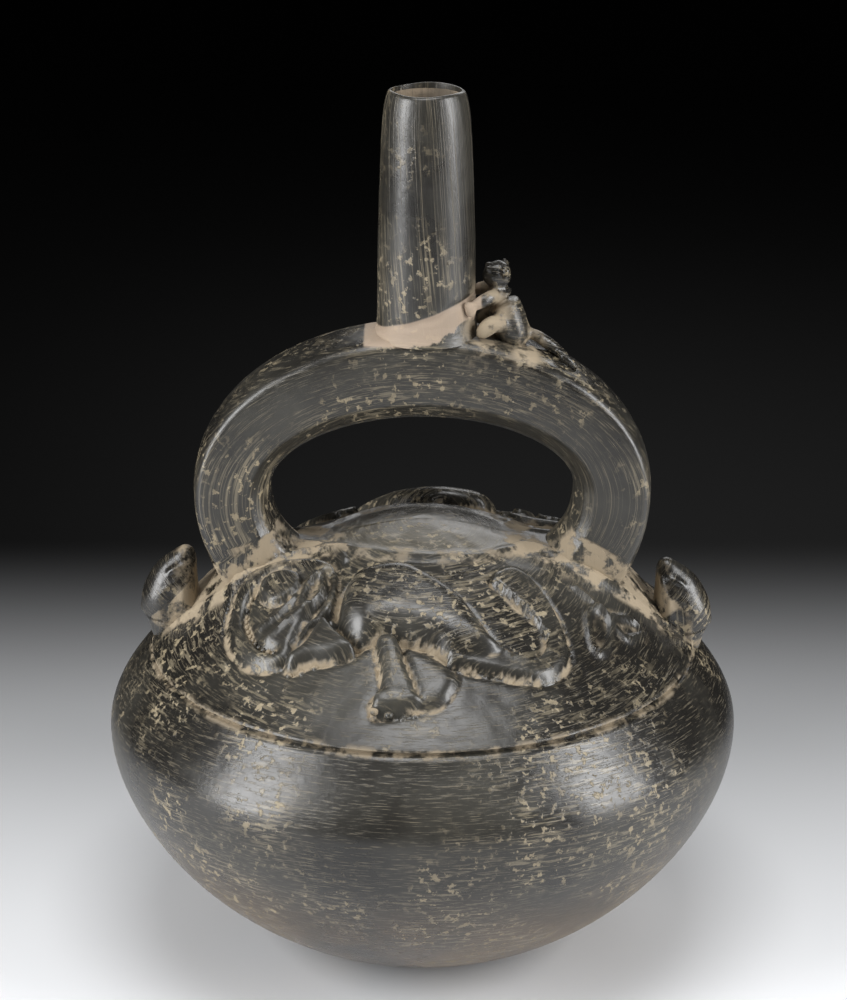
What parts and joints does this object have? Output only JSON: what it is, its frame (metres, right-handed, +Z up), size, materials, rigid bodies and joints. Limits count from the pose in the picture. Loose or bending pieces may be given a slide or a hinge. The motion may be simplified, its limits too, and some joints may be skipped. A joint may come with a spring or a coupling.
{
  "type": "stirrup spout vessel",
  "caption": "Hollow blackware vessel with a flattened round bowl, relief dome, arched stirrup handle and a straight spout on top, with small animal figures.",
  "frame": {"origin": "centre of the flat base, on the surface it stands on", "axes": "+Z up along the axis of the bowl, X along the stirrup arch, the front relief faces -Y"},
  "size_m": [0.16, 0.16, 0.2183],
  "materials": {
    "blackware": "burnished black, worn, with pale deposits in the relief"
  },
  "bodies": {
    "root": {"vessel": "blackware"}
  },
  "joints": []
}
